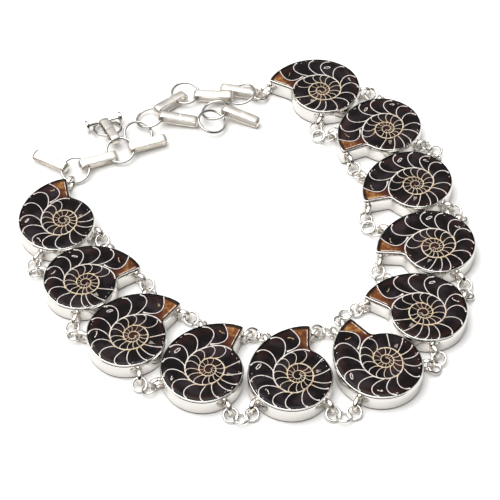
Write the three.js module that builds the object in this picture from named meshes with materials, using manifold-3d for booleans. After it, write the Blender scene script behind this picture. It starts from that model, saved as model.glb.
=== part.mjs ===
// Ammonite fossil necklace: eleven cut and polished ammonite halves, each fixed in a silver bezel cup,
// joined side to side by small jump rings and closed at the back by a chain with a toggle bar.
// Millimetres, +Z up. It lies on its back plates, so the polished faces look up.
import * as THREE from 'three';
import { mergeVertices } from 'three/addons/utils/BufferGeometryUtils.js';
import Module from 'manifold-3d';

const wasm = await Module();
wasm.setup();

// Ammonite half and its bezel cup. A radius is measured from the middle of the spiral,
// and 0 degrees points at the tip of the aperture.
const OUTLINE_RADII = [14.7, 13.4, 12.3, 11.75, 11.4, 10.75, 10.0, 9.25, 8.5, 8.2, 8.05, 8.0, 8.05];
const OUTLINE_STEP_DEG = 30;
const NOTCH_DEG = 350;
const OUTLINE_POINTS = 19;
const BEZEL_HEIGHT = 4.8;
const BEZEL_WALL = 0.4;
const BACK_PLATE = 0.5;
const SEAT_GAP = 0.3;
const FACE_BELOW_RIM = 0.2;

// Each bezel: middle of the spiral, turn of the tip, hand of the spiral and size.
const PLACES = [
  { x: -45.4, y: 9.5, turn: 90, hand: 1, size: 0.95 },
  { x: -39.0, y: -9.9, turn: 19, hand: 1, size: 0.96 },
  { x: -27.0, y: -25.6, turn: 40, hand: 1, size: 1 },
  { x: -9.3, y: -35.1, turn: 56, hand: 1, size: 1 },
  { x: 10.9, y: -36.8, turn: 77, hand: 1, size: 1 },
  { x: 31.1, y: -32.4, turn: 122, hand: 1, size: 0.99 },
  { x: 40.5, y: -18.8, turn: 162, hand: -1, size: 1 },
  { x: 44.6, y: 1.2, turn: 188, hand: -1, size: 1 },
  { x: 41.1, y: 21.3, turn: 205, hand: -1, size: 0.98 },
  { x: 34.9, y: 40.2, turn: 216, hand: -1, size: 0.97 },
  { x: 18.6, y: 53.9, turn: 166, hand: -1, size: 0.97 },
];

// Jump rings, and the same rings soldered upright to a bezel wall as loops.
const JUMP_RING_RADIUS = 1.62;
const JUMP_WIRE_RADIUS = 0.32;
const JUMP_RING_PITCH = 2.6;
const JUMP_RING_TILT = 15;
const JUMP_RING_LIFT = 1.1;
const JUMP_RING_STEPS = 6;
const LOOP_RADIUS = 1.6;
const LOOP_OUT = 1.15;
const LOOP_HOLD = 1.3;
const LOOP_HOLD_HEIGHT = 2.3;
const LOOP_AIM_ROUNDS = 8;
const WALL_SHARE = 0.35;
const OUTWARD = -1;
const INWARD = 1;

// Where loops are soldered, in degrees round a bezel from its tip.
const FRONT_LOOP = 242;
const BACK_LOOP = 132;
const INNER_LOOP = 42;
const TIP_LOOP = 'tip';
const TIP_LOOP_INSET = 1.5;

// Each joint between neighbours: the loop on either side and the number of jump rings between.
const OUTER_JOINTS = [
  { from: 151, to: BACK_LOOP, rings: 2 },
  { from: FRONT_LOOP, to: BACK_LOOP, rings: 2 },
  { from: FRONT_LOOP, to: BACK_LOOP, rings: 2 },
  { from: FRONT_LOOP, to: BACK_LOOP, rings: 3 },
  { from: FRONT_LOOP, to: 112, rings: 3 },
  { from: FRONT_LOOP, to: FRONT_LOOP, rings: 2 },
  { from: BACK_LOOP, to: FRONT_LOOP, rings: 2 },
  { from: BACK_LOOP, to: FRONT_LOOP, rings: 2 },
  { from: BACK_LOOP, to: FRONT_LOOP, rings: 3 },
  { from: 120, to: 156, rings: 2 },
];
const INNER_JOINTS = [
  { from: 262, to: 44, rings: 2 },
  { from: TIP_LOOP, to: INNER_LOOP, rings: 2 },
  { from: TIP_LOOP, to: INNER_LOOP, rings: 2 },
  { from: TIP_LOOP, to: 46, rings: 2 },
  { from: TIP_LOOP, to: 20, rings: 2 },
  { from: 9, to: TIP_LOOP, rings: 3 },
  { from: INNER_LOOP, to: TIP_LOOP, rings: 2 },
  { from: INNER_LOOP, to: TIP_LOOP, rings: 3 },
  { from: INNER_LOOP, to: TIP_LOOP, rings: 2 },
  { from: INNER_LOOP, to: 256, rings: 3 },
];

// Chain: big rings held together by links of silver strip, each folded into a flat closed loop.
// lean is how far a ring is tipped, and raised is the direction of its raised side.
const CHAIN_RING_RADIUS = 3.5;
const CHAIN_WIRE_RADIUS = 0.35;
const CHAIN_RING_STEPS = 12;
const CHAIN_RINGS = {
  a: { x: -43.9, y: 28.7, z: 1.67, lean: 16, raised: 90 },
  b: { x: -32.9, y: 35.06, z: 2.13, lean: 16, raised: 93 },
  c: { x: -28.7, y: 41.7, z: 1.25, lean: 14, raised: 120 },
  d: { x: -36.6, y: 43.3, z: 1.48, lean: 15, raised: 270 },
  e: { x: -25.78, y: 46.7, z: 1.85, lean: 14, raised: -14 },
  f: { x: -16.9, y: 55.6, z: 1.9, lean: 5, raised: 90 },
  h: { x: -8.9, y: 49.2, z: 2.1, lean: 14, raised: -25 },
  i: { x: -9.8, y: 45.1, z: 2.1, lean: 15, raised: 155 },
  j: { x: -2.2, y: 54.3, z: 2.85, lean: 13, raised: 0 },
};
const LINK_LENGTH = 10.6;
const LINK_WIDTH = 2.3;
const STRIP_THICKNESS = 0.3;
const LINK_SLOT = 1.86;
const LINK_END_STEPS = 2;
const TOGGLE_PAST_WIRE = 1.3;

// Each link: the ring and direction where it starts, and where it ends or the point that it lies towards.
const CHAIN_LINKS = [
  { from: ['a', 162], towards: [-54.1, 33.9, 1.48], past: 1.65 },
  { from: ['a', 32], to: ['b', 218] },
  { from: ['b', 16], towards: [-21.5, 39.2, 1.83], past: 1.6 },
  { from: ['e', 49], to: ['f', 225], past: 1.4 },
  { from: ['e', -6], towards: [-12.8, 45.4, 1.5], past: 1.35 },
  { from: ['f', -13], to: ['j', 184] },
  { from: ['j', 144], to: ['end', 174], past: 3.0 },
  { from: ['h', -20], towards: [2.6, 45.2, 1.3], past: 1.8 },
];

// The toggle: a bar with a disc on either end, held in the fold of a strip that hangs on two rings.
const TOGGLE_MIDDLE = new THREE.Vector3(-37.7, 45.2, 2.01);
const TOGGLE_TURN = 21.6;
const TOGGLE_LENGTH = 9.6;
const TOGGLE_RADIUS = 0.42;
const TOGGLE_DISC_RADIUS = 1.5;
const TOGGLE_DISC_THICKNESS = 0.8;
const TOGGLE_HOLDS = ['b', 115];

// The loops that the chain hangs on, and the end ring that lies in the last of them.
const CHAIN_LOOP_INSET = 0.4;
const START_LOOP_AIM = 65;
const END_LOOP_AIM = 215;
const END_RING_RADIUS = 1.9;
const END_RING_LIFT = 1.25;
const END_RING_LEAN = 15;

const silver = new THREE.MeshStandardMaterial({
  name: 'silver', color: '#e9e6e1', roughness: 0.2, metalness: 1,
});
const fossil = new THREE.MeshStandardMaterial({
  name: 'fossil', color: '#2f2827', roughness: 0.15, metalness: 0,
});

const radians = THREE.MathUtils.degToRad;
const up = new THREE.Vector3(0, 0, 1);
const necklace = new THREE.Group();

function solid(geometry) {
  const bare = geometry.clone();
  bare.deleteAttribute('normal');
  bare.deleteAttribute('uv');
  const merged = mergeVertices(bare, 1e-5);
  const vertProperties = Float32Array.from(merged.attributes.position.array);
  const triVerts = Uint32Array.from(merged.index.array);
  return new wasm.Manifold(new wasm.Mesh({ numProp: 3, vertProperties, triVerts }));
}

function geometryOf(manifold) {
  const mesh = manifold.getMesh();
  const geometry = new THREE.BufferGeometry();
  geometry.setAttribute('position', new THREE.BufferAttribute(Float32Array.from(mesh.vertProperties), 3));
  geometry.setIndex(new THREE.BufferAttribute(Uint32Array.from(mesh.triVerts), 1));
  return geometry;
}

function addPiece(name, geometry, material) {
  const mesh = new THREE.Mesh(geometry, material);
  mesh.name = name;
  necklace.add(mesh);
}

function joined(geometries) {
  return geometryOf(geometries.map(solid).reduce((all, next) => all.add(next)));
}

// The radius at an angle, smooth through the hand-read radii.
function outlineRadius(degrees) {
  const last = OUTLINE_RADII.length - 1;
  const at = Math.min(Math.max(degrees / OUTLINE_STEP_DEG, 0), last);
  const whole = Math.min(Math.floor(at), last - 1);
  const radiusAt = (index) => OUTLINE_RADII[Math.min(Math.max(index, 0), last)];
  const [before, start, end, after] = [-1, 0, 1, 2].map((k) => radiusAt(whole + k));
  const part = at - whole;
  const slopeStart = (end - before) / 2;
  const slopeEnd = (after - start) / 2;
  const bend = 3 * (end - start) - 2 * slopeStart - slopeEnd;
  const twist = 2 * (start - end) + slopeStart + slopeEnd;
  return start + part * (slopeStart + part * (bend + part * twist));
}

// The outline of a bezel in its own frame, from the tip round to the notch.
function outlinePoints() {
  const points = [];
  for (let k = 0; k < OUTLINE_POINTS; k += 1) {
    const degrees = (NOTCH_DEG * k) / (OUTLINE_POINTS - 1);
    const radius = outlineRadius(degrees);
    points.push(new THREE.Vector2(radius * Math.cos(radians(degrees)), radius * Math.sin(radians(degrees))));
  }
  return points;
}

// The same outline moved inward by a distance, with mitred corners.
function insetPoints(points, distance) {
  return points.map((point, k) => {
    const before = points[(k + points.length - 1) % points.length];
    const after = points[(k + 1) % points.length];
    const edgeIn = point.clone().sub(before).normalize();
    const edgeOut = after.clone().sub(point).normalize();
    const normalIn = new THREE.Vector2(-edgeIn.y, edgeIn.x);
    const normalOut = new THREE.Vector2(-edgeOut.y, edgeOut.x);
    const reach = distance / (1 + normalIn.dot(normalOut));
    return point.clone().add(normalIn.add(normalOut).multiplyScalar(reach));
  });
}

// An outline placed where its bezel lies. A mirrored bezel has its points in reverse order.
function placedPoints(points, place) {
  const placed = points.map((point) => new THREE.Vector2(point.x, point.y * place.hand)
    .multiplyScalar(place.size)
    .rotateAround(new THREE.Vector2(0, 0), radians(place.turn))
    .add(new THREE.Vector2(place.x, place.y)));
  return place.hand > 0 ? placed : placed.reverse();
}

function slab(points, bottom, top) {
  const shape = new THREE.Shape(points);
  const geometry = new THREE.ExtrudeGeometry(shape, { depth: top - bottom, bevelEnabled: false });
  geometry.translate(0, 0, bottom);
  return geometry;
}

// A point on a bezel's outer wall and the direction out of it.
function wallAt(place, where, inset = TIP_LOOP_INSET) {
  const outline = outlinePoints();
  let base;
  let normal;
  if (where === TIP_LOOP) {
    const [tip, notch] = [outline[0], outline[outline.length - 1]];
    const edge = notch.clone().sub(tip).normalize();
    base = tip.clone().addScaledVector(edge, inset);
    normal = new THREE.Vector2(-edge.y, edge.x);
  } else {
    const [here, next] = [where, where + 1].map((degrees) => new THREE.Vector2(outlineRadius(degrees), 0)
      .rotateAround(new THREE.Vector2(0, 0), radians(degrees)));
    base = here;
    normal = new THREE.Vector2(next.y - here.y, here.x - next.x).normalize();
  }
  const turned = (vector) => new THREE.Vector2(vector.x, vector.y * place.hand)
    .rotateAround(new THREE.Vector2(0, 0), radians(place.turn));
  const point = turned(base).multiplyScalar(place.size);
  const out = turned(normal);
  return {
    base: new THREE.Vector3(place.x + point.x, place.y + point.y, 0),
    out: new THREE.Vector3(out.x, out.y, 0),
  };
}

class Arc extends THREE.Curve {
  constructor(middle, along, across, radius, start, sweep) {
    super();
    Object.assign(this, { middle, along, across, radius, start, sweep });
  }

  getPoint(t, target = new THREE.Vector3()) {
    const angle = this.start + this.sweep * t;
    return target.copy(this.middle)
      .addScaledVector(this.along, this.radius * Math.cos(angle))
      .addScaledVector(this.across, this.radius * Math.sin(angle));
  }
}

function wireSection(radius, sides) {
  const section = new THREE.Shape();
  for (let k = 0; k < sides; k += 1) {
    const angle = (2 * Math.PI * k) / sides;
    const [x, y] = [radius * Math.cos(angle), radius * Math.sin(angle)];
    if (k === 0) section.moveTo(x, y);
    else section.lineTo(x, y);
  }
  return section;
}

// A soldered loop: most of an upright ring, with both ends inside the bezel wall.
function loopGeometry(base, aim) {
  const middle = base.clone().addScaledVector(aim, LOOP_OUT).setZ(LOOP_RADIUS + JUMP_WIRE_RADIUS);
  const halfOpen = Math.acos((LOOP_OUT + BEZEL_WALL * 0.5) / LOOP_RADIUS);
  const path = new Arc(middle, aim, up, LOOP_RADIUS, -Math.PI + halfOpen, 2 * Math.PI - 2 * halfOpen);
  const section = wireSection(JUMP_WIRE_RADIUS, 4);
  return new THREE.ExtrudeGeometry(section, { steps: 4, extrudePath: path, bevelEnabled: false });
}

// A ring of round wire: its middle, one direction in its plane and its tilt about that direction.
function ringGeometry(middle, along, tilt, radius, wireRadius, steps) {
  const level = new THREE.Vector3().crossVectors(up, along).normalize();
  const across = level.applyAxisAngle(along, radians(tilt));
  const axis = new THREE.Vector3().crossVectors(along, across);
  const geometry = new THREE.TorusGeometry(radius, wireRadius, 4, steps);
  geometry.applyMatrix4(new THREE.Matrix4().makeBasis(along, across, axis).setPosition(middle));
  return geometry;
}

// The middles of jump rings between two loops, on a bow whose links all turn by the same angle.
function bowPoints(start, end, count, side) {
  const lengths = [JUMP_RING_RADIUS, ...Array(count - 1).fill(JUMP_RING_PITCH), JUMP_RING_RADIUS];
  const chord = end.clone().sub(start).setZ(0);
  const span = (bend) => lengths.reduce(
    (sum, length, k) => sum + length * Math.cos((k - count / 2) * bend), 0);
  let [low, high] = [0, 2 * Math.PI / (count + 1)];
  for (let k = 0; k < 40; k += 1) {
    const middle = (low + high) / 2;
    if (span(middle) > chord.length()) low = middle;
    else high = middle;
  }
  const heading = Math.atan2(chord.y, chord.x);
  const points = [start.clone()];
  lengths.forEach((length, k) => {
    const angle = heading - side * (k - count / 2) * low;
    const step = new THREE.Vector3(length * Math.cos(angle), length * Math.sin(angle), 0);
    points.push(points[k].clone().add(step));
  });
  points.slice(1, -1).forEach((point) => point.setZ(JUMP_RING_LIFT));
  points[points.length - 1].setZ(end.z);
  return points;
}

const loops = PLACES.map(() => []);

// The loops and the run of jump rings of one joint. Each loop leans towards the first ring that it holds.
function layJoint(index, joint, side) {
  const first = wallAt(PLACES[index], joint.from);
  const second = wallAt(PLACES[index + 1], joint.to);
  let aims = [first.out, second.out];
  let points = [];
  for (let round = 0; round < LOOP_AIM_ROUNDS; round += 1) {
    const start = first.base.clone().addScaledVector(aims[0], LOOP_HOLD).setZ(LOOP_HOLD_HEIGHT);
    const end = second.base.clone().addScaledVector(aims[1], LOOP_HOLD).setZ(LOOP_HOLD_HEIGHT);
    points = bowPoints(start, end, joint.rings, side);
    const pulls = [points[1].clone().sub(start), points[points.length - 2].clone().sub(end)];
    aims = [first, second].map((wall, k) => wall.out.clone().multiplyScalar(WALL_SHARE)
      .add(pulls[k].setZ(0).normalize()).normalize());
  }
  return { bases: [first.base, second.base], aims, points };
}

function addJoint(name, index, joint, side) {
  const { bases, aims, points } = layJoint(index, joint, side);
  loops[index].push(loopGeometry(bases[0], aims[0]));
  loops[index + 1].push(loopGeometry(bases[1], aims[1]));
  const rings = points.slice(1, -1).map((middle, k) => {
    const along = points[k + 2].clone().sub(points[k]).normalize();
    const tilt = k % 2 ? -JUMP_RING_TILT : JUMP_RING_TILT;
    return ringGeometry(middle, along, tilt, JUMP_RING_RADIUS, JUMP_WIRE_RADIUS, JUMP_RING_STEPS);
  });
  addPiece(name, joined(rings), silver);
}

OUTER_JOINTS.forEach((joint, k) => addJoint(`outer_jump_rings_${k + 1}`, k, joint, OUTWARD));
INNER_JOINTS.forEach((joint, k) => addJoint(`inner_jump_rings_${k + 1}`, k, joint, INWARD));

function heading(degrees) {
  return new THREE.Vector3(Math.cos(radians(degrees)), Math.sin(radians(degrees)), 0);
}

// The two directions in the plane of a tipped ring: level, and up its slope.
function ringPlane(ring) {
  const along = heading(ring.raised - 90);
  const across = heading(ring.raised).applyAxisAngle(along, radians(ring.lean));
  return { along, across };
}

// The middle of a ring's wire in a direction seen from above, and the wire's direction there.
function wireAt(ring, degrees) {
  const { along, across } = ringPlane(ring);
  const angle = radians(degrees - ring.raised + 90);
  const radius = ring.radius ?? CHAIN_RING_RADIUS;
  return {
    point: new THREE.Vector3(ring.x, ring.y, ring.z)
      .addScaledVector(along, radius * Math.cos(angle))
      .addScaledVector(across, radius * Math.sin(angle)),
    tangent: new THREE.Vector3()
      .addScaledVector(along, -Math.sin(angle))
      .addScaledVector(across, Math.cos(angle)),
  };
}

function bigRing(ring) {
  const middle = new THREE.Vector3(ring.x, ring.y, ring.z);
  const { along } = ringPlane(ring);
  return ringGeometry(middle, along, ring.lean, CHAIN_RING_RADIUS, CHAIN_WIRE_RADIUS, CHAIN_RING_STEPS);
}

// A flat loop with round ends, half as long and half as thick as given.
function addLoopOutline(path, halfLength, halfThickness) {
  const straight = halfLength - halfThickness;
  [[straight, -90], [-straight, 90]].forEach(([middle, start], end) => {
    for (let k = 0; k <= LINK_END_STEPS; k += 1) {
      const angle = radians(start + (180 * k) / LINK_END_STEPS);
      const [x, y] = [middle + halfThickness * Math.cos(angle), halfThickness * Math.sin(angle)];
      if (end === 0 && k === 0) path.moveTo(x, y);
      else path.lineTo(x, y);
    }
  });
}

// A folded strip that starts a little before one point and runs towards another.
function linkGeometry(start, end, past, tangent, wholeLength = LINK_LENGTH) {
  const length = end.clone().sub(start).normalize();
  const width = tangent.clone().addScaledVector(length, -tangent.dot(length)).normalize();
  const thickness = new THREE.Vector3().crossVectors(width, length);
  const shape = new THREE.Shape();
  addLoopOutline(shape, wholeLength / 2, LINK_SLOT / 2 + STRIP_THICKNESS);
  const slot = new THREE.Path();
  addLoopOutline(slot, wholeLength / 2 - STRIP_THICKNESS, LINK_SLOT / 2);
  shape.holes.push(slot);
  const geometry = new THREE.ExtrudeGeometry(shape, { depth: LINK_WIDTH, bevelEnabled: false });
  geometry.translate(wholeLength / 2 - past, 0, -LINK_WIDTH / 2);
  geometry.applyMatrix4(new THREE.Matrix4().makeBasis(length, thickness, width).setPosition(start));
  return geometry;
}

// The strip of one link. Between two rings it reaches as far past one wire as past the other.
function chainLink(link, rings) {
  const first = wireAt(rings[link.from[0]], link.from[1]);
  if (link.towards) {
    return linkGeometry(first.point, new THREE.Vector3(...link.towards), link.past, first.tangent);
  }
  const second = wireAt(rings[link.to[0]], link.to[1]);
  if (second.tangent.dot(first.tangent) < 0) second.tangent.negate();
  const past = link.past ?? (LINK_LENGTH - second.point.distanceTo(first.point)) / 2;
  return linkGeometry(first.point, second.point, past, first.tangent.clone().add(second.tangent));
}

function toggleGeometry(rings) {
  const along = heading(TOGGLE_TURN);
  const turn = new THREE.Quaternion().setFromUnitVectors(new THREE.Vector3(0, 1, 0), along);
  const rod = (radius, length, offset, sides) => new THREE.CylinderGeometry(radius, radius, length, sides)
    .translate(0, offset, 0).applyQuaternion(turn).translate(...TOGGLE_MIDDLE.toArray());
  const discOut = (TOGGLE_LENGTH - TOGGLE_DISC_THICKNESS) / 2;
  const held = wireAt(rings[TOGGLE_HOLDS[0]], TOGGLE_HOLDS[1]);
  const past = STRIP_THICKNESS + TOGGLE_RADIUS * 0.8;
  const stripLength = TOGGLE_MIDDLE.distanceTo(held.point) + past + TOGGLE_PAST_WIRE;
  const strip = linkGeometry(TOGGLE_MIDDLE, held.point, past, along, stripLength);
  return joined([
    rod(TOGGLE_RADIUS, TOGGLE_LENGTH - TOGGLE_DISC_THICKNESS, 0, 8),
    rod(TOGGLE_DISC_RADIUS, TOGGLE_DISC_THICKNESS, discOut, 12),
    rod(TOGGLE_DISC_RADIUS, TOGGLE_DISC_THICKNESS, -discOut, 12),
    strip,
  ]);
}

// The upright loop on which one end of the chain hangs.
function addChainLoop(index, degrees) {
  const { base } = wallAt(PLACES[index], TIP_LOOP, CHAIN_LOOP_INSET);
  loops[index].push(loopGeometry(base, heading(degrees)));
  return base;
}

// The end ring lies in its loop and touches the loop's foot.
addChainLoop(0, START_LOOP_AIM);
const endBase = addChainLoop(PLACES.length - 1, END_LOOP_AIM);
const endMiddle = endBase.clone()
  .addScaledVector(heading(END_LOOP_AIM), LOOP_OUT + END_RING_RADIUS)
  .setZ(END_RING_LIFT);
const endRing = {
  x: endMiddle.x, y: endMiddle.y, z: endMiddle.z,
  lean: END_RING_LEAN, raised: END_LOOP_AIM, radius: END_RING_RADIUS,
};
const endRingGeometry = ringGeometry(
  endMiddle, ringPlane(endRing).along, END_RING_LEAN, END_RING_RADIUS, JUMP_WIRE_RADIUS, 10,
);
loops[PLACES.length - 1].push(endRingGeometry);

const rings = { ...CHAIN_RINGS, end: endRing };
Object.values(CHAIN_RINGS).forEach((ring, k) => addPiece(`chain_ring_${k + 1}`, bigRing(ring), silver));
CHAIN_LINKS.forEach((link, k) => addPiece(`chain_link_${k + 1}`, chainLink(link, rings), silver));
addPiece('toggle_bar', toggleGeometry(rings), silver);

PLACES.forEach((place, k) => {
  const outer = placedPoints(outlinePoints(), place);
  const inner = placedPoints(insetPoints(outlinePoints(), BEZEL_WALL), place);
  const stone = placedPoints(insetPoints(outlinePoints(), BEZEL_WALL + SEAT_GAP), place);
  const cup = solid(slab(outer, 0, BEZEL_HEIGHT)).subtract(solid(slab(inner, BACK_PLATE, BEZEL_HEIGHT + 1)));
  const bezel = loops[k].map(solid).reduce((all, loop) => all.add(loop), cup);
  addPiece(`bezel_${k + 1}`, geometryOf(bezel), silver);
  addPiece(`ammonite_${k + 1}`, slab(stone, BACK_PLATE + SEAT_GAP, BEZEL_HEIGHT - FACE_BELOW_RIM), fossil);
});

// The bottom middle of the whole box goes to the origin.
const box = new THREE.Box3().setFromObject(necklace);
const middle = box.getCenter(new THREE.Vector3()).setZ(box.min.z);
necklace.position.sub(middle);

export default necklace;
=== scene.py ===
"""Ammonite necklace: polished fossil halves in silver bezel cups, jump rings and a heaped silver chain.

Lengths are millimetres in the necklace's own layout, and turn into metres where a mesh is made.
"""

import math
import random
from functools import partial

import bmesh
import bpy
from bpy.props import FloatProperty, FloatVectorProperty, PointerProperty
from mathutils import Matrix, Vector


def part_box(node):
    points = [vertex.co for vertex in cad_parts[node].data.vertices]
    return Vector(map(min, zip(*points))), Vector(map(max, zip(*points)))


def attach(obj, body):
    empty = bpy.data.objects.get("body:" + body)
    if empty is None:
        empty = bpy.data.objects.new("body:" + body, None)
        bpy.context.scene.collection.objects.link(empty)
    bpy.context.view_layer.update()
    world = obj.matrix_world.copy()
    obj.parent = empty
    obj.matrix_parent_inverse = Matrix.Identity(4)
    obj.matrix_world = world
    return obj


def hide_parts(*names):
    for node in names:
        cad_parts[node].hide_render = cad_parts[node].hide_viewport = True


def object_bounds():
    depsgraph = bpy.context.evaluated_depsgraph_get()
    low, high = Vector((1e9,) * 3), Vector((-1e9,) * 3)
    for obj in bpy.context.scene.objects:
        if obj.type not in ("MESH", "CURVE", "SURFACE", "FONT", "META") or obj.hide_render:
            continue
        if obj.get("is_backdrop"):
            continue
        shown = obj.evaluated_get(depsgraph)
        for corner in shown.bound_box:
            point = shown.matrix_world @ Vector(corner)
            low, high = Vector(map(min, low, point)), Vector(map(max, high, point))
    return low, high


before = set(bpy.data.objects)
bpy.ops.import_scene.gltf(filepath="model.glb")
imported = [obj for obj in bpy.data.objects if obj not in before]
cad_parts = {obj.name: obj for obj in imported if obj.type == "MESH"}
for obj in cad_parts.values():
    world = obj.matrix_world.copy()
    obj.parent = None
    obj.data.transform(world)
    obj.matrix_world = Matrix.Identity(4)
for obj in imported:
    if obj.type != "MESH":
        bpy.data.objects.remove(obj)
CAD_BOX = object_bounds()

bl_info = {
    "name": "Ammonite Necklace",
    "version": (1, 0, 0),
    "blender": (4, 5, 0),
    "location": "View3D > Sidebar > Necklace",
    "description": "Builds a necklace of polished ammonite halves in silver bezel cups",
    "category": "Object",
}

MM = 0.001
UP = Vector((0.0, 0.0, 1.0))
SHARP_EDGE_DEG = 38
# An arc that sweeps at least this much closes on itself.
FULL_TURN = math.tau - 1e-6

# Ammonite half and bezel cup. A radius is measured from the middle of the spiral, 0 degrees is the tip.
OUTLINE_RADII = (14.7, 13.4, 12.3, 11.75, 11.4, 10.75, 10.0, 9.25, 8.5, 8.2, 8.05, 8.0, 8.05)
OUTLINE_STEP_DEG = 30
NOTCH_DEG = 350
OUTLINE_SPACING = 0.35
OUTLINE_ROUNDING = 5
OUTLINE_TRIM = 0.1
BEZEL_HEIGHT = 4.8
BEZEL_WALL = 0.4

# Each bezel: middle of the spiral, turn of the tip, hand of the spiral and size.
PLACES = (
    (-45.4, 9.5, 90, 1, 0.95),
    (-39.0, -9.9, 19, 1, 0.96),
    (-27.0, -25.6, 40, 1, 1.0),
    (-9.3, -35.1, 56, 1, 1.0),
    (10.9, -36.8, 77, 1, 1.0),
    (31.1, -32.4, 122, 1, 0.99),
    (40.5, -18.8, 162, -1, 1.0),
    (44.6, 1.2, 188, -1, 1.0),
    (41.1, 21.3, 205, -1, 0.98),
    (34.9, 40.2, 216, -1, 0.97),
    (18.6, 53.9, 166, -1, 0.97),
)

# Cup section, as inset from the outline and height: soldered seam, wall, shoulder, burnished lip, inside.
CUP_SECTION = (
    (0.3, 0.0), (0.13, 0.03), (0.07, 0.1), (0.06, 0.38), (0.01, 0.44),
    (0.0, 0.5), (0.0, 1.6), (0.0, 3.1), (0.0, 4.25),
    (0.03, 4.31), (0.13, 4.45), (0.15, 4.49), (0.16, 4.6),
    (0.19, 4.7), (0.24, 4.75), (0.3, 4.76), (0.35, 4.72), (0.38, 4.62),
    (0.38, 4.4), (0.34, 4.2), (0.34, 0.5),
)
# The first rows of the section's faces, at the foot, carry a painted contact shadow.
FOOT_SHADOW_ROWS = 4
# Fossil section, as inset and height, from its underside to the start of its polished face.
FOSSIL_SECTION = ((0.46, 0.62), (0.41, 0.7), (0.41, 4.36), (0.43, 4.48), (0.49, 4.56), (0.57, 4.6))
FACE_HEIGHT = 4.6
FACE_RINGS = 12
# How far out the polished face reaches, as a share, inside its line of painted shadow along the rim.
FACE_OUT = 0.985
FACE_SEED = 40

# Jump rings and soldered loops. A loop's place is an angle on the outline.
JUMP_RING_RADIUS = 1.62
JUMP_WIRE_RADIUS = 0.32
JUMP_RING_PITCH = 2.6
JUMP_RING_TILT = 15
JUMP_RING_LIFT = 1.1
JUMP_RING_STEPS = 40
JUMP_RING_SIDES = 12
JUMP_RING_SEAMS_DEG = (60, 120)
JUMP_RING_SEED = 7
LOOP_RADIUS = 1.6
LOOP_OUT = 1.15
LOOP_HOLD = 1.3
LOOP_HOLD_HEIGHT = 2.3
LOOP_AIM_ROUNDS = 8
LOOP_WIDENING = 1.75
LOOP_STEPS = 24
LOOP_SIDES = 14
SOLDER_RADIUS = 0.44
SOLDER_ROWS = 7
SOLDER_SIDES = 12
SOLDER_IN_WALL = 0.05
SOLDER_SPREAD = 0.94
BOW_ROUNDS = 40
# How much a loop keeps to the direction out of its wall while it leans to its jump ring.
WALL_SHARE = 0.35
FRONT_LOOP = 242
BACK_LOOP = 132
INNER_LOOP = 42
TIP_LOOP = "tip"
TIP_LOOP_INSET = 1.5
# Each joint: loop on one bezel, loop on the next, number of jump rings.
OUTER_JOINTS = (
    (151, BACK_LOOP, 2), (FRONT_LOOP, BACK_LOOP, 2), (FRONT_LOOP, BACK_LOOP, 2), (FRONT_LOOP, BACK_LOOP, 3),
    (FRONT_LOOP, 112, 3), (FRONT_LOOP, FRONT_LOOP, 2), (BACK_LOOP, FRONT_LOOP, 2), (BACK_LOOP, FRONT_LOOP, 2),
    (BACK_LOOP, FRONT_LOOP, 3), (120, 156, 2),
)
INNER_JOINTS = (
    (262, 44, 2), (TIP_LOOP, INNER_LOOP, 2), (TIP_LOOP, INNER_LOOP, 2), (TIP_LOOP, 46, 2), (TIP_LOOP, 20, 2),
    (9, TIP_LOOP, 3), (INNER_LOOP, TIP_LOOP, 2), (INNER_LOOP, TIP_LOOP, 3), (INNER_LOOP, TIP_LOOP, 2),
    (INNER_LOOP, 256, 3),
)
OUTWARD = -1
INWARD = 1

# Places in the list of finishes: a bezel's, with painted contact shadow at its foot, and a fossil's.
BRIGHT, SHADOWED, SATIN = 0, 1, 2
FILLING, WALL, CORNER = 0, 1, 2

# Chain: the middle of each ring, its lean and the direction of its raised side.
CHAIN_RING_RADIUS = 3.5
CHAIN_WIRE_RADIUS = 0.35
CHAIN_RING_STEPS = 72
CHAIN_RING_SIDES = 16
CHAIN_RING_SEED = 11
CHAIN_RINGS = {
    "a": (-43.9, 28.7, 1.67, 16, 90),
    "b": (-32.9, 35.06, 2.13, 16, 93),
    "c": (-28.7, 41.7, 1.25, 14, 120),
    "d": (-36.6, 43.3, 1.48, 15, 270),
    "e": (-25.78, 46.7, 1.85, 14, -14),
    "f": (-16.9, 55.6, 1.9, 5, 90),
    "h": (-8.9, 49.2, 2.1, 14, -25),
    "i": (-9.8, 45.1, 2.1, 15, 155),
    "j": (-2.2, 54.3, 2.85, 13, 0),
}
LINK_LENGTH = 10.6
LINK_WIDTH = 2.3
STRIP_THICKNESS = 0.3
LINK_SLOT = 1.86
STRIP_EDGE = 0.13
STRIP_CROWN = 0.14
STRIP_STEPS = 8
STRIP_SEAM_AT = 0.4
STRIP_END_STEPS = 12
STRIP_SIDE_STEPS = 6
# Each link: ring and direction where it starts, ring and direction or point that it runs to, and its
# length past the wire, with None for the same at both ends.
CHAIN_LINKS = (
    ("a", 162, (-54.1, 33.9, 1.48), 1.65),
    ("a", 32, ("b", 218), None),
    ("b", 16, (-21.5, 39.2, 1.83), 1.6),
    ("e", 49, ("f", 225), 1.4),
    ("e", -6, (-12.8, 45.4, 1.5), 1.35),
    ("f", -13, ("j", 184), None),
    ("j", 144, ("end", 174), 3.0),
    ("h", -20, (2.6, 45.2, 1.3), 1.8),
)
TOGGLE_MIDDLE = Vector((-37.7, 45.2, 2.01))
TOGGLE_TURN = 21.6
TOGGLE_RADIUS = 0.42
TOGGLE_SIDES = 28
# Half of the toggle from its middle to the end, as place and radius: bar, flare and rounded disc.
TOGGLE_HALF = (
    (0.0, TOGGLE_RADIUS), (3.6, TOGGLE_RADIUS), (3.9, 0.5), (4.02, 0.75), (4.08, 1.2), (4.16, 1.42),
    (4.3, 1.5), (4.55, 1.5), (4.7, 1.42), (4.78, 1.25), (4.8, 1.0),
)
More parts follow.
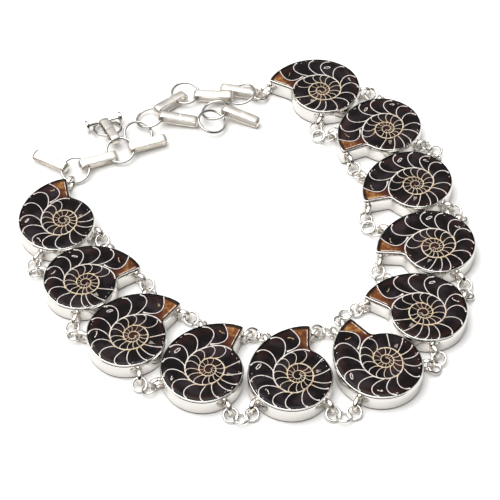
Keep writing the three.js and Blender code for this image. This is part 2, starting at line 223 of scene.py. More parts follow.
# How far the strip's fold reaches past the toggle's middle.
TOGGLE_FOLD = STRIP_THICKNESS + TOGGLE_RADIUS * 0.8
TOGGLE_HOLDS = ("b", 115)
TOGGLE_PAST_WIRE = 1.3
CHAIN_LOOP_INSET = 0.4
START_LOOP_AIM = 65
END_LOOP_AIM = 215
END_RING_RADIUS = 1.9
END_RING_LIFT = 1.25
END_RING_LEAN = 15
END_RING_SEAM_DEG = 120

# Cut face of the fossil: the whorl wall's radius every 45 degrees inward from the aperture.
WHORL_RADII = (
    7.5, 6.2, 5.7, 5.4, 4.85, 3.85, 3.45, 3.5, 3.4, 3.1, 2.55, 2.2, 1.95, 1.75, 1.62, 1.54, 1.44, 1.32, 1.2,
    1.08, 0.96, 0.82, 0.68, 0.54, 0.42,
)
WHORL_STEP_DEG = 45
WHORL_START_DEG = -9
WHORL_END_DEG = 1060
WHORL_LINE_STEP_DEG = 5
# The whorl wall's share of its full width: at most, where and how slowly it thins, and at least.
WHORL_WIDEST = 0.9
WHORL_THINS_FROM_DEG = 300
WHORL_THINS_OVER_DEG = 1400
WHORL_THINNEST = 0.5
# Chamber walls of the outer whorl: angle at the rim, angle at the whorl wall and bulge, in degrees.
OUTER_SEPTA = (
    (44, 50, 15), (66, 72, 14), (89, 96, 14), (113, 119, 13), (137, 148, 16), (161, 164, 14), (182, 182, 12),
    (206, 212, 10), (230, 224, 7), (256, 243, 6), (272, 258, 4), (296, 275, 1), (323, 307, -1),
)
SEPTUM_STEPS = 18
SEPTUM_RIM_INSET = 0.6
SEPTUM_BULGE_POWER = 0.7
SEPTUM_STRAY_DEG = 2.0
SEPTUM_BOW_SPREAD = (0.85, 1.15)
# How much wider a wall gets at its rim and at its foot, and over which share of its length.
OUTER_FLARE = (0.7, 1.2)
INNER_FLARE = (0.6, 1.4)
OPENING_FLARE = (0.5, 1.5)
FLARE_REACH = (0.05, 0.07)
# Honey corner: first angle that has one, spread behind the foot, share of it in front, steps and climb.
FIRST_CORNER_DEG = 120
CORNER_SPREAD = 10.0
CORNER_FRONT = 0.4
CORNER_STEPS = 3
CORNER_CLIMB = 7
# Chambers of the second and third whorl: whorl, count, corner's spread, bulge and share of the wall's width.
INNER_WHORLS = ((1, 15, 10.0, 13.0, 0.7), (2, 13, 9.0, 5.0, 0.4))
INNER_SEPTUM_STEPS = 10
INNER_START_DEG = 12
INNER_SWEEP_DEG = 350
INNER_FOOT_DEG = 3
INNER_PHASE_DEG = 8.0
INNER_STRAY_DEG = 2.5
INNER_BOW_LOSS = 0.6
# The first chamber wall is a shallow curve across the aperture: its lowest point and how fast it rises.
APERTURE_WALL_X = 9.1
APERTURE_WALL_Y = 1.6
APERTURE_WALL_RISE = 0.24
APERTURE_WALL_FROM = 6.0
APERTURE_WALL_TO = 12.7
APERTURE_WALL_STEPS = 18
SHELL_EDGE_INSET = 0.95
SHELL_EDGE_START = 1.3
SHELL_EDGE_SHORTER = 2.2
SHELL_EDGE_STEPS = 8
# The shell's edge comes and goes: the angle of its first swelling and the angle from step to step.
SHELL_EDGE_WAVE = (2, 1.7)
# Curls in the chambers: between which angles, and how many sixteenths of a turn are drawn.
CURLS = ((87, 93, 16), (134, 139, 9), (18, 24, 7))
CURL_STEPS = 16
# A curl's place across the whorl, half its length, its lean, how slim it is, and how wide its line is.
CURL_SHARE = (0.5, 0.62)
CURL_REACH = (0.7, 0.95)
CURL_LEAN_DEG = (55, 85)
CURL_SLIMNESS = (0.26, 0.36)
CURL_HALF_WIDTH = 0.05
CURL_SWELLING = 0.07
CURL_WAVES = 2.6
# Feathers above the whorl wall, and specks inside the rim.
FEATHER_FOOT_DEG = (282, 296)
FEATHER_COUNT = 4
FEATHER_STEP_DEG = 3.0
FEATHER_LEAN_DEG = 4
FEATHER_SPREAD_DEG = 1.5
FEATHER_START = 0.8
FEATHER_REACH = (1.3, 2.4)
FEATHER_HALF_WIDTHS = (0.045, 0.035, 0.01)
SPECK_COUNT = 14
SPECK_DEG = (40, 345)
SPECK_INSET = (0.7, 1.3)
SPECK_LENGTH = (0.15, 0.5)
SPECK_LEAN_DEG = (60, 120)
SPECK_HALF_WIDTHS = (0.02, 0.07, 0.02)
RIBBON_LIFT = 0.012
RIBBON_DEPTH = 0.06
MARK_LIFT = RIBBON_LIFT * 0.8
SPIRAL_LIFT = RIBBON_LIFT * 1.2
CORNER_LIFT = RIBBON_LIFT * 1.5

# Node settings. A map range takes its value at 0, the range it comes from at 1 and 2 and the range it goes
# to at 3 and 4. A colour mix takes its share at 0 and its colours at 6 and 7, and gives the mix at 2.
SMOOTH = {"interpolation_type": "SMOOTHSTEP"}
BLEND = {"data_type": "RGBA"}
PLUS = {"operation": "ADD"}
MINUS = {"operation": "SUBTRACT"}
TIMES = {"operation": "MULTIPLY"}

# Camera: distance, elevation and what its middle looks at, in millimetres and degrees.
CAMERA_DISTANCE = 420.5
CAMERA_ELEVATION = 50.4
CAMERA_TARGET = Vector((0.0, 0.0, BEZEL_HEIGHT))
CAMERA_LENS = 126.3
CAMERA_SENSOR = 36.0
CAMERA_CLIPS = (0.01, 10.0)

# Stage: paper half as wide as this in metres, a hair under the necklace.
FLOOR_HALF = 1.6
FLOOR_BELOW = 0.00003
# Soft boxes around the necklace: direction, cosine of the reach and brightness, and their soft edge.
SOFTBOXES = (
    ((-0.3, 0.0, 0.954), 0.84, 4.3),
    ((0.0, 0.637, 0.771), 0.92, 0.3),
)
SOFTBOX_EDGE = (0.03, 0.02)


def frame_shift():
    """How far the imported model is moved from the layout, read from a ring whose middle is known."""
    low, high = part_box("chain_ring_6")
    x, y = CHAIN_RINGS["f"][:2]
    middle = (low + high) / 2
    return Vector((middle.x / MM - x, middle.y / MM - y, 0.0))


SHIFT = frame_shift()


def linear(hex_colour):
    """A #rrggbb colour as linear red, green, blue and alpha."""
    values = [int(hex_colour[k:k + 2], 16) / 255 for k in (1, 3, 5)]
    return tuple(v / 12.92 if v <= 0.04045 else ((v + 0.055) / 1.055) ** 2.4 for v in values) + (1.0,)


def colour_setting(name, description, hex_colour):
    """A colour that the user can change."""
    return FloatVectorProperty(
        name=name, description=description, subtype="COLOR", size=4, min=0, max=1, default=linear(hex_colour))


def length_setting(name, description, lowest, highest, length):
    """A length that the user can change; the lengths are given in millimetres."""
    return FloatProperty(
        name=name, description=description, unit="LENGTH", min=lowest * MM, max=highest * MM,
        default=length * MM)


class NecklaceColours(bpy.types.PropertyGroup):
    """Colours of the necklace's finishes."""

    silver: colour_setting("Silver", "Polished silver of cups and rings", "#d9d6d2")
    wire: colour_setting("Wire silver", "Drawn wire of the large rings", "#b9b6b2")
    strip: colour_setting("Strip silver", "Softer silver of the folded strips", "#e9e3db")
    # Painted contact shadow: the dark line at each cup's foot.
    foot_shadow: colour_setting("Foot shadow", "Painted contact shadow at the foot of a cup", "#6a635d")
    chamber: colour_setting("Chamber", "Near-black filling of the chambers", "#0a0607")
    chamber_light: colour_setting("Chamber light", "Paler clouds in the chambers", "#2a2226")
    rim: colour_setting("Rim brown", "Reddish brown shell near the rim", "#452015")
    aperture: colour_setting("Aperture", "Amber filling at the opening", "#6b3b1c")
    aperture_light: colour_setting("Aperture light", "Palest amber at the opening", "#a87c4a")
    wall: colour_setting("Chamber wall", "Cream chamber walls of the outer whorl", "#ddd4ce")
    wall_gold: colour_setting("Inner wall", "Golden chamber walls near the middle", "#d4c4ac")
    corner: colour_setting("Corner filling", "Honey calcite where walls meet", "#c9ae84")
    # Painted shadow in the gap between fossil and bezel rim.
    seam: colour_setting("Seam", "Dark line of painted shadow between fossil and rim", "#0d0a0a")
    floor: colour_setting("Floor", "Pale studio floor", "#f4f3f1")


class NecklaceSizes(bpy.types.PropertyGroup):
    """Sizes of the fine detail."""

    ring_seam: length_setting("Ring seam", "Gap where the ends of a ring's wire meet", 0.0, 0.5, 0.06)
    strip_seam: length_setting("Strip seam", "Gap where the ends of a folded strip meet", 0.0, 1.0, 0.16)
    face_crown: length_setting("Face crown", "How far the polished face rises in the middle", 0.0, 0.2, 0.1)
    wall_line: length_setting("Chamber wall", "Width of a chamber wall on the cut face", 0.1, 0.6, 0.19)
    whorl_line: length_setting("Whorl wall", "Width of the wall between two whorls", 0.1, 0.8, 0.3)


def add_node(tree, kind, settings=None, inputs=None):
    """Adds a shader node and gives its outputs; an input is a value, or an output that is linked to it."""
    made = tree.nodes.new("ShaderNode" + kind)
    for name, value in (settings or {}).items():
        setattr(made, name, value)
    for name, value in (inputs or {}).items():
        if isinstance(value, bpy.types.NodeSocket):
            tree.links.new(value, made.inputs[name])
        else:
            made.inputs[name].default_value = value
    return made.outputs


def new_material(name):
    """An empty material, and the call that adds a node to it."""
    material = bpy.data.materials.new(name)
    material.use_nodes = True
    material.node_tree.nodes.clear()
    return material, partial(add_node, material.node_tree)


def patches(add, place, size, low, high, to_low=0.0, to_high=1.0, detail=3.0, roughness=0.5):
    """Soft patches about as wide as size in millimetres, as values in a range."""
    noise = add("TexNoise", None, {
        "Vector": place, "Scale": 1 / (size * MM), "Detail": detail, "Roughness": roughness})["Fac"]
    return add("MapRange", SMOOTH, {0: noise, 1: low, 2: high, 3: to_low, 4: to_high})[0]


def silver_material(name, colour, smooth, rough, mark_size, mark_height):
    """Silver whose roughness wanders between two values over soft tool marks, sized in millimetres.

    Real marks are too fine to show, so they are drawn several times as coarse.
    """
    material, add = new_material(name)
    place = add("TexCoord")["Object"]
    marks = add("TexNoise", None, {"Vector": place, "Scale": 1 / (mark_size * MM)})["Fac"]
    normal = add("Bump", None, {"Strength": 0.35, "Distance": mark_height * MM, "Height": marks})[0]
    shader = add("BsdfPrincipled", None, {
        "Base Color": colour, "Metallic": 1.0, "Normal": normal,
        "Roughness": patches(add, place, mark_size * 4, 0.35, 0.65, smooth, rough)})[0]
    add("OutputMaterial", None, {"Surface": shader})
    return material


def burnished_silver(colours):
    """Sterling silver, cast or drawn and then burnished: a bright mirror with slightly soft edges."""
    return silver_material("burnished_silver", colours.silver, 0.05, 0.13, 0.9, 0.01)


def drawn_silver(colours):
    """Drawn silver wire, a little duller than the cups: bright, with grey outlines."""
    return silver_material("drawn_silver_wire", colours.wire, 0.06, 0.16, 0.9, 0.01)


def soldered_silver(colours):
    """Silver softened by the torch and cleaned with a file: satin, with shallow dents and no sharp mirror."""
    return silver_material("soldered_silver", colours.strip, 0.2, 0.42, 0.5, 0.04)


def painted_foot_shadow(colours):
    """Painted contact shadow at a cup's foot, along its soldered seam: a dull dark grey line of silver."""
    return silver_material("painted_foot_shadow_silver", colours.foot_shadow, 0.3, 0.5, 0.4, 0.02)


def rolled_silver(colours):
    """Rolled silver strip, folded by hand and tumbled: whiter and softer than the rings."""
    return silver_material("rolled_silver_strip", colours.strip, 0.3, 0.46, 1.8, 0.3)


def cut_place(add):
    """Where a point lies: in the model, and on the cut face as x, y, radius in millimetres and share out."""
    place = add("TexCoord")["Object"]
    cut = add("Attribute", {"attribute_name": "cut"})["Vector"]
    x, y, out = add("SeparateXYZ", None, {0: cut})
    squares = [add("Math", TIMES, {0: value, 1: value})[0] for value in (x, y)]
    total = add("Math", PLUS, {0: squares[0], 1: squares[1]})[0]
    radius = add("Math", {"operation": "SQRT"}, {0: total})[0]
    return place, x, y, radius, out


def opening_cover(add, x, y):
    """How far a point lies beyond the first chamber wall, and how much amber shows there."""
    from_lowest = add("Math", MINUS, {0: x, 1: APERTURE_WALL_X})[0]
    squared = add("Math", TIMES, {0: from_lowest, 1: from_lowest})[0]
    rise = add("Math", TIMES, {0: squared, 1: APERTURE_WALL_RISE})[0]
    wall_y = add("Math", PLUS, {0: rise, 1: APERTURE_WALL_Y})[0]
    beyond = add("Math", MINUS, {0: wall_y, 1: y})[0]
    past_wall = add("MapRange", SMOOTH, {0: beyond, 1: -0.05, 2: 0.1})[0]
    past_core = add("MapRange", SMOOTH, {0: x, 1: 6.6, 2: 8.6})[0]
    return beyond, add("Math", TIMES, {0: past_wall, 1: past_core})[0]


def chamber_calcite(colours):
    """Calcite and iron minerals in the chambers, ground flat and polished: a deep near-black gloss.

    Paler clouds and a reddish rim give depth, amber shows where the opening was filled, and a painted shadow
    darkens the edge under the bezel's lip.
    """
    material, add = new_material("polished_chamber_calcite")
    place, x, y, radius, out = cut_place(add)
    clouds = patches(add, place, 4.5, 0.42, 0.72)
    base = add("Mix", BLEND, {0: clouds, 6: colours.chamber, 7: colours.chamber_light})[2]
    near_core = add("MapRange", SMOOTH, {0: radius, 1: 1.0, 2: 4.5, 3: 0.75, 4: 0.0})[0]
    core_share = add("Math", TIMES, {0: near_core, 1: clouds})[0]
    base = add("Mix", BLEND, {0: core_share, 6: base, 7: colours.rim})[2]

    near_rim = add("MapRange", SMOOTH, {0: out, 1: 0.72, 2: 0.97})[0]
    stained = add("Math", TIMES, {0: near_rim, 1: patches(add, place, 6.0, 0.45, 0.6)})[0]
    rim_share = add("Math", TIMES, {0: stained, 1: 0.3})[0]
    browned = add("Mix", BLEND, {0: rim_share, 6: base, 7: colours.rim})[2]

    beyond, opened = opening_cover(add, x, y)
    grain = patches(add, place, 1.3, 0.42, 0.66, detail=6.0, roughness=0.7)
    amber = add("Mix", BLEND, {0: grain, 6: colours.aperture, 7: colours.aperture_light})[2]
    weighted = add("Math", TIMES, {0: beyond, 1: 1.2})[0]
    outward = add("Math", PLUS, {0: x, 1: weighted})[0]
    depth = add("MapRange", SMOOTH, {0: outward, 1: 9.0, 2: 13.5})[0]
    mottles = patches(add, place, 2.4, 0.3, 0.55, 0.35, detail=4.0, roughness=0.6)
    mottled = add("Math", TIMES, {0: depth, 1: mottles})[0]
    shaded = add("Mix", BLEND, {0: mottled, 6: colours.rim, 7: amber})[2]
    colour = add("Mix", BLEND, {0: opened, 6: browned, 7: shaded})[2]

    # Painted shadow: the face darkens towards its edge, in the gap under the bezel's lip.
    inside = add("MapRange", SMOOTH, {0: out, 1: 0.93, 2: 0.975, 3: 1.0, 4: 0.1})[0]
    rim_shadowed = add("Mix", BLEND, {0: inside, 6: colours.seam, 7: colour})[2]
    shader = add("BsdfPrincipled", None, {
        "Base Color": rim_shadowed, "Roughness": patches(add, place, 0.35, 0.3, 0.7, 0.07, 0.16), "IOR": 1.55,
        "Specular IOR Level": 0.1})[0]
    add("OutputMaterial", None, {"Surface": shader})
    return material


def wall_calcite(colours):
    """Cream calcite that replaced the shell's walls, polished flush: pale outside, golden near the middle."""
    material, add = new_material("polished_wall_calcite")
    place, _, _, radius, _ = cut_place(add)
    paler = add("MapRange", SMOOTH, {0: radius, 1: 2.6, 2: 7.0})[0]
    toned = add("Mix", BLEND, {0: paler, 6: colours.wall_gold, 7: colours.wall})[2]
    stains = add("Math", TIMES, {0: patches(add, place, 0.8, 0.48, 0.72), 1: 0.5})[0]
    colour = add("Mix", BLEND, {0: stains, 6: toned, 7: colours.rim})[2]
    roughness = add("MapRange", SMOOTH, {0: stains, 1: 0.0, 2: 0.4, 3: 0.16, 4: 0.3})[0]
    shader = add("BsdfPrincipled", None, {
        "Base Color": colour, "Roughness": roughness, "IOR": 1.5, "Specular IOR Level": 0.3})[0]
    add("OutputMaterial", None, {"Surface": shader})
    return material


def honey_calcite(colours):
    """Honey-coloured calcite in the corners between walls, polished: warm and a little cloudy."""
    material, add = new_material("polished_honey_calcite")
    clouds = patches(add, add("TexCoord")["Object"], 0.7, 0.3, 0.6)
    colour = add("Mix", BLEND, {0: clouds, 6: colours.rim, 7: colours.corner})[2]
    roughness = add("MapRange", SMOOTH, {0: clouds, 1: 0.0, 2: 1.0, 3: 0.3, 4: 0.16})[0]
    shader = add("BsdfPrincipled", None, {
        "Base Color": colour, "Roughness": roughness, "IOR": 1.5, "Specular IOR Level": 0.3})[0]
    add("OutputMaterial", None, {"Surface": shader})
    return material


def floor_paper(colours):
    """Matt studio paper: an even pale floor."""
    material, add = new_material("studio_paper")
    shade = patches(add, add("TexCoord")["Object"], 400, 0.3, 0.7, 0.0, 0.03, 2.0)
    colour = add("Mix", BLEND, {0: shade, 6: colours.floor, 7: (0.8, 0.8, 0.8, 1.0)})[2]
    shader = add("BsdfPrincipled", None, {"Base Color": colour, "Roughness": 0.9})[0]
    add("OutputMaterial", None, {"Surface": shader})
    return material


class Shape:
    """Vertices, faces and the finish of each face, in millimetres."""

    def __init__(self):
        self.points = []
        self.faces = []
        self.finishes = []
        self.cuts = []

    def add(self, points, faces, finish=0, cuts=None):
        """Adds points and faces, with each point's place on the cut face where it has one."""
        start = len(self.points)
        self.points.extend(Vector(p) for p in points)
        self.faces.extend(tuple(start + k for k in face) for face in faces)
        self.finishes.extend(finish if isinstance(finish, list) else [finish] * len(faces))
        self.cuts.extend(cuts or [(0.0, 0.0, 0.0)] * len(points))

    def kept_inside(self):
        """The points in metres, moved so that round wire stays in the box of the model's faceted wire."""
        points = [(p + SHIFT) * MM for p in self.points]
        move = Vector()
        for axis in (0, 1):
            move[axis] += max(0.0, CAD_BOX[0][axis] - min(p[axis] for p in points))
            move[axis] -= max(0.0, max(p[axis] for p in points) - CAD_BOX[1][axis])
        return [p + move for p in points]

    def build(self, name, materials, node, slot):
        """Makes the mesh object, puts it in the frame and hides the model's part that it stands for."""
        if not self.faces:
            raise RuntimeError(f"{name} has no faces")
        mesh = bpy.data.meshes.new(name)
        mesh.from_pydata(self.kept_inside(), [], self.faces)
        for material in materials:
            mesh.materials.append(material)
        mesh.polygons.foreach_set("material_index", self.finishes)
        attribute = mesh.attributes.new("cut", "FLOAT_VECTOR", "POINT")
        attribute.data.foreach_set("vector", [value for cut in self.cuts for value in cut])
        work = bmesh.new()
        work.from_mesh(mesh)
        bmesh.ops.recalc_face_normals(work, faces=work.faces)
        work.to_mesh(mesh)
        work.free()
        mesh.polygons.foreach_set("use_smooth", [True] * len(mesh.polygons))
        mesh.set_sharp_from_angle(angle=math.radians(SHARP_EDGE_DEG))
        piece = bpy.data.objects.new(name, mesh)
        bpy.context.scene.collection.objects.link(piece)
        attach(piece, "root")
        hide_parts(node)
        return piece


def rows_of_faces(rows, count, capped=False):
    """Quads between closed rows of count points, with a face over each end if it is capped."""
    faces = []
    for row in range(rows - 1):
        here, above = row * count, (row + 1) * count
        for k in range(count):
            right = (k + 1) % count
            faces.append((here + k, here + right, above + right, above + k))
    if capped:
        faces += [tuple(range(count)), tuple(range((rows - 1) * count, rows * count))]
    return faces


def circle(sides):
    """Cosine and sine of evenly spaced turns."""
    turns = [math.tau * side / sides for side in range(sides)]
    return [(math.cos(turn), math.sin(turn)) for turn in turns]


def heading(degrees):
    """A level direction."""
    angle = math.radians(degrees)
    return Vector((math.cos(angle), math.sin(angle), 0.0))


def through_values(values, at):
    """A smooth curve through evenly spaced values, at a place counted in steps."""
    last = len(values) - 1
    at = min(max(at, 0.0), last)
    whole = min(int(at), last - 1)
    before, start, end, after = (values[min(max(whole + k, 0), last)] for k in (-1, 0, 1, 2))
    part = at - whole
    slope_start = (end - before) / 2
    slope_end = (after - start) / 2
    bend = 3 * (end - start) - 2 * slope_start - slope_end
    twist = 2 * (start - end) + slope_start + slope_end
    return start + part * (slope_start + part * (bend + part * twist))


def outline_radius(degrees):
    """Radius of the bezel's outline, from the tip round to the notch."""
    return through_values(OUTLINE_RADII, degrees / OUTLINE_STEP_DEG)


def polar(radius, degrees):
    """A point on the cut face."""
    angle = math.radians(degrees)
    return Vector((radius * math.cos(angle), radius * math.sin(angle)))


def opening_edge():
    """The straight edge of the opening: its tip, the direction to the notch and its length."""
    tip, notch = polar(outline_radius(0), 0), polar(outline_radius(NOTCH_DEG), NOTCH_DEG)
    return tip, (notch - tip).normalized(), (notch - tip).length


def evenly_spaced(points, spacing):
    """A closed line resampled at even steps."""
    lengths = [0.0]
    closed = points + points[:1]
    for first, second in zip(closed, closed[1:]):
        lengths.append(lengths[-1] + (second - first).length)
    count = round(lengths[-1] / spacing)
    result = []
    k = 0
    for step in range(count):
        target = lengths[-1] * step / count
        while lengths[k + 1] < target:
            k += 1
        share = (target - lengths[k]) / (lengths[k + 1] - lengths[k])
        result.append(closed[k].lerp(closed[k + 1], share))
    return result


def smooth_outline():
    """The bezel's outline with its two corners softened."""
    line = [polar(outline_radius(degrees), degrees) for degrees in range(NOTCH_DEG + 1)]
    points = evenly_spaced(line, OUTLINE_SPACING)
    for _ in range(OUTLINE_ROUNDING):
        ahead = points[1:] + points[:1]
        points = [point * 0.5 + (points[k - 1] + ahead[k]) * 0.25 for k, point in enumerate(points)]
    return points


def inset(points, distance):
    """A closed line moved inward."""
    moved = []
    for k, point in enumerate(points):
        along = (points[(k + 1) % len(points)] - points[k - 1]).normalized()
        moved.append(point + Vector((-along.y, along.x)) * distance)
    return moved


OUTLINE = inset(smooth_outline(), OUTLINE_TRIM)


class Place:
    """Where one bezel lies."""

    def __init__(self, index):
        self.x, self.y, self.turn, self.hand, self.size = PLACES[index]

    def vector(self, flat):
        """A direction on the cut face, turned as the bezel lies."""
        angle = math.radians(self.turn)
        x, y = flat[0], flat[1] * self.hand
        return Vector((
            x * math.cos(angle) - y * math.sin(angle), x * math.sin(angle) + y * math.cos(angle), 0.0))

    def point(self, flat, height):
        """A point on the cut face at a height."""
        return self.vector(flat) * self.size + Vector((self.x, self.y, height))

    def wall(self, where, inset_by=TIP_LOOP_INSET):
        """A point at the foot of the outer wall and the direction out of it."""
        if where == TIP_LOOP:
            tip, edge, _ = opening_edge()
            base = tip + edge * inset_by
            normal = Vector((-edge.y, edge.x))
        else:
            base = polar(outline_radius(where), where)
            onward = polar(outline_radius(where), where + 1)
            normal = Vector((onward.y - base.y, base.x - onward.x)).normalized()
        return self.point(base, 0.0), self.vector(normal)


def add_wire_arc(
        shape, middle, along, across, radius, wire, start, sweep, steps, sides, widen=1.0, finish=0):
    """Wire along an arc, round or widened to a strap; a full turn less a seam has both ends closed."""
    axis = along.cross(across)
    closed = sweep >= FULL_TURN
    count = steps if closed else steps + 1
    points = []
    for k in range(count):
        angle = start + sweep * k / steps
        spoke = along * math.cos(angle) + across * math.sin(angle)
        for out, over in circle(sides):
            points.append(middle + spoke * (radius + wire * out) + axis * (wire * widen * over))
    faces = rows_of_faces(count, sides, capped=not closed)
    if closed:
        last = (count - 1) * sides
        faces += [(last + k, last + (k + 1) % sides, (k + 1) % sides, k) for k in range(sides)]
    shape.add(points, faces, finish)


def add_ring(
        shape, middle, along, tilt, radius, wire, seam_at, steps=JUMP_RING_STEPS, sides=JUMP_RING_SIDES):
    """A ring of round wire with its butt seam."""
    level = UP.cross(along).normalized()
    across = Matrix.Rotation(math.radians(tilt), 3, along) @ level
    gap = bpy.context.scene.necklace_sizes.ring_seam / MM / radius
    start = math.radians(seam_at) + gap / 2
    add_wire_arc(shape, middle, along, across, radius, wire, start, math.tau - gap, steps, sides)


def add_solder(shape, middle, radius):
    """A low bead of solder at a loop's foot."""
    rows, sides = SOLDER_ROWS, SOLDER_SIDES
    points = [middle + UP * radius]
    for row in range(1, rows):
        angle = math.pi * row / rows
        around, up = radius * math.sin(angle), radius * math.cos(angle)
        points += [middle + Vector((around * x, around * y, up)) for x, y in circle(sides)]
    points.append(middle - UP * radius)
    faces = [(0, 1 + k, 1 + (k + 1) % sides) for k in range(sides)]
    faces += [tuple(1 + index for index in face) for face in rows_of_faces(rows - 1, sides)]
    last = len(points) - 1
    faces += [(last, last - 1 - k, last - 1 - (k + 1) % sides) for k in range(sides)]
    shape.add(points, faces, SATIN)


def add_loop(shape, base, aim):
    """An upright loop soldered to a wall, with a bead at each foot."""
    middle = base + aim * LOOP_OUT
    middle.z = LOOP_RADIUS + JUMP_WIRE_RADIUS
    half_open = math.acos((LOOP_OUT + BEZEL_WALL * 0.5) / LOOP_RADIUS)
    add_wire_arc(
        shape, middle, aim, UP, LOOP_RADIUS, JUMP_WIRE_RADIUS, -math.pi + half_open,
        math.tau - 2 * half_open, LOOP_STEPS, LOOP_SIDES, LOOP_WIDENING, SATIN)
    spread = LOOP_RADIUS * math.sin(half_open) * SOLDER_SPREAD
    for side in (-1, 1):
        foot = middle - aim * (LOOP_OUT + SOLDER_IN_WALL) + UP * (side * spread)
        add_solder(shape, foot, SOLDER_RADIUS)


def bow_points(start, end, count, side):
    """The middles of jump rings between two loops, on a bow whose links all turn by the same angle."""
    lengths = [JUMP_RING_RADIUS] + [JUMP_RING_PITCH] * (count - 1) + [JUMP_RING_RADIUS]
    chord = Vector((end.x - start.x, end.y - start.y, 0.0))
    low, high = 0.0, math.tau / (count + 1)
    for _ in range(BOW_ROUNDS):
        middle = (low + high) / 2
        span = sum(length * math.cos((k - count / 2) * middle) for k, length in enumerate(lengths))
        if span > chord.length:
            low = middle
        else:
            high = middle
    toward = math.atan2(chord.y, chord.x)
    points = [start.copy()]
    for k, length in enumerate(lengths):
        angle = toward - side * (k - count / 2) * low
        points.append(points[k] + Vector((length * math.cos(angle), length * math.sin(angle), 0.0)))
    for point in points[1:-1]:
        point.z = JUMP_RING_LIFT
    points[-1].z = end.z
    return points


def lay_joint(index, joint, side):
    """Where the two loops and the jump rings of one joint lie."""
    where_from, where_to, count = joint
    walls = [Place(index).wall(where_from), Place(index + 1).wall(where_to)]
    aims = [wall[1] for wall in walls]
    points = []
    for _ in range(LOOP_AIM_ROUNDS):
        start, end = (wall[0] + aim * LOOP_HOLD for wall, aim in zip(walls, aims))
        start.z = end.z = LOOP_HOLD_HEIGHT
        points = bow_points(start, end, count, side)
        pulls = [points[1] - start, points[-2] - end]
        aims = []
        for wall, pull in zip(walls, pulls):
            pull.z = 0.0
            aims.append((wall[1] * WALL_SHARE + pull.normalized()).normalized())
    return [wall[0] for wall in walls], aims, points


def joints():
    """Every joint: its side, its first bezel, where its loops stand and aim, and the path of its rings."""
    for kind, rows, side in (("outer", OUTER_JOINTS, OUTWARD), ("inner", INNER_JOINTS, INWARD)):
        for index, joint in enumerate(rows):
            bases, aims, points = lay_joint(index, joint, side)
            yield kind, index, bases, aims, points


def end_ring():
    """The small ring that lies in the last loop: middle, lean, raised direction and radius."""
    base = Place(len(PLACES) - 1).wall(TIP_LOOP, CHAIN_LOOP_INSET)[0]
    middle = base + heading(END_LOOP_AIM) * (LOOP_OUT + END_RING_RADIUS)
    return middle.x, middle.y, END_RING_LIFT, END_RING_LEAN, END_LOOP_AIM, END_RING_RADIUS


def chain_ring(name):
    """A chain ring: middle, lean, raised direction and radius."""
    return end_ring() if name == "end" else CHAIN_RINGS[name] + (CHAIN_RING_RADIUS,)


def ring_plane(ring):
    """The level direction in a tipped ring's plane, and the one up its slope."""
    lean, raised = ring[3], ring[4]
    along = heading(raised - 90)
    across = Matrix.Rotation(math.radians(lean), 3, along) @ heading(raised)
    return along, across


def wire_at(ring, degrees):
    """The middle of a ring's wire in a direction seen from above, and the wire's direction there."""
    along, across = ring_plane(ring)
    angle = math.radians(degrees - ring[4] + 90)
    point = Vector(ring[:3]) + along * (ring[5] * math.cos(angle)) + across * (ring[5] * math.sin(angle))
    return point, across * math.cos(angle) - along * math.sin(angle)


def strip_section():
    """Section of the strip: rounded edges and a sheet that bulges outward in the middle."""
    half_width, half_thickness = LINK_WIDTH / 2, STRIP_THICKNESS / 2
    flat = half_width - STRIP_EDGE
    section = []

    def add_edge(across, out, first):
        for degrees in (first, first + 30, first + 60, first + 90):
            angle = math.radians(degrees)
            section.append((across + STRIP_EDGE * math.cos(angle), out + STRIP_EDGE * math.sin(angle)))

    for side, first in ((1, 0), (-1, 180)):
        out = side * (half_thickness - STRIP_EDGE)
        add_edge(side * flat, out, first)
        for k in range(1, STRIP_STEPS):
            section.append((side * flat * (1 - 2 * k / STRIP_STEPS), side * half_thickness))
        add_edge(-side * flat, out, first + 90)
    return [(across, out - STRIP_CROWN * (across / half_width) ** 2) for across, out in section]


def fold(middle, half, first):
    """The half circle round one end of a link: place along it, height and direction outward."""
    line = []
    for k in range(STRIP_END_STEPS + 1):
        turn = first - 180 * k / STRIP_END_STEPS
        angle = math.radians(turn)
        line.append((middle + half * math.cos(angle), half * math.sin(angle), turn))
    return line


def add_folded_strip(shape, start, end, past, tangent, whole_length=LINK_LENGTH, finish=0):
    """A strip folded into a flat closed loop, with rounded edges and an open butt seam on its upper side."""
    length = (end - start).normalized()
    width = (tangent - length * tangent.dot(length)).normalized()
    thickness = width.cross(length)
    if thickness.z < 0:
        width, thickness = -width, -thickness
    middle = start + length * (whole_length / 2 - past)
    half = (LINK_SLOT + STRIP_THICKNESS) / 2
    straight = whole_length / 2 - STRIP_THICKNESS / 2 - half
    seam = bpy.context.scene.necklace_sizes.strip_seam / MM
    first, last = STRIP_SEAM_AT + seam / 2, STRIP_SEAM_AT - seam / 2
    shares = [k / STRIP_SIDE_STEPS for k in range(STRIP_SIDE_STEPS + 1)]
    path = [(first + (straight - first) * share, half, 90) for share in shares[:-1]]
    path += fold(straight, half, 90)
    path += [(straight - 2 * straight * share, -half, -90) for share in shares[1:-1]]
    path += fold(-straight, half, -90)
    path += [(-straight + (straight + last) * share, half, 90) for share in shares[1:]]
    section = strip_section()
    points = []
    for x, y, turn in path:
        angle = math.radians(turn)
        outward = length * math.cos(angle) + thickness * math.sin(angle)
        base = middle + length * x + thickness * y
        points += [base + width * across + outward * out for across, out in section]
    shape.add(points, rows_of_faces(len(path), len(section), capped=True), finish)


def add_turned(shape, middle, along, profile, sides):
    """A turned part: radii at places along its axis, closed at both ends."""
    across = UP.cross(along).normalized()
    rise = along.cross(across)
    points = []
    for place, radius in profile:
        for x, y in circle(sides):
            around = across * (radius * x) + rise * (radius * y)
            points.append(middle + along * place + around)
    shape.add(points, rows_of_faces(len(profile), sides, capped=True))


def whorl_radius(degrees):
    """Radius of the wall between whorls, inward from the aperture."""
    return through_values(WHORL_RADII, degrees / WHORL_STEP_DEG)


